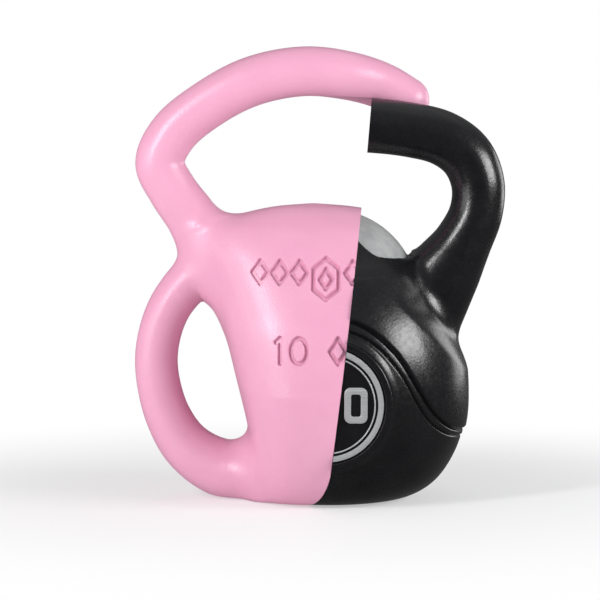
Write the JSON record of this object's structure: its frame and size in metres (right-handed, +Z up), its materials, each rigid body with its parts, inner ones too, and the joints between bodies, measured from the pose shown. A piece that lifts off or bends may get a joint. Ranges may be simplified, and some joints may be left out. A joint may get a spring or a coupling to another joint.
{
  "type": "kettlebell",
  "caption": "Two-tone kettlebell: a satin pink half with an over-arching handle and a side grip, a black half with a loop handle and a round badge, on a flat base.",
  "frame": {"origin": "middle of the whole kettlebell's box, on the floor", "axes": "+X to the black loop handle's side, +Y to the back (away from the badge), +Z up"},
  "size_m": [0.2128, 0.1378, 0.2596],
  "materials": {
    "pink_skin": "satin, finely pebbled pink moulded plastic",
    "pink_trim": "smooth satin pink plastic plug",
    "black_skin": "semi-gloss, finely pebbled black moulded plastic",
    "black_trim": "smooth satin black plastic",
    "ballast": "smooth light grey cement and iron-ore ballast casting",
    "rod_steel": "plain drawn steel rod",
    "badge_gloss": "glossy black badge plate",
    "badge_silver": "fine brushed silver badge trim"
  },
  "bodies": {
    "root": {"pink_shell": "pink_skin", "black_shell": "black_skin", "ballast_core": "ballast", "arch_rod": "rod_steel", "side_grip_rod": "rod_steel", "loop_rod": "rod_steel", "loop_end_cap": "black_trim", "arch_tip_dowel": "rod_steel", "badge_plate": "badge_gloss", "badge_outer_ring": "badge_silver", "badge_inner_ring": "badge_silver", "badge_numeral": "badge_silver", "pink_fill_plug": "pink_trim", "black_fill_plug": "black_trim"}
  },
  "joints": []
}
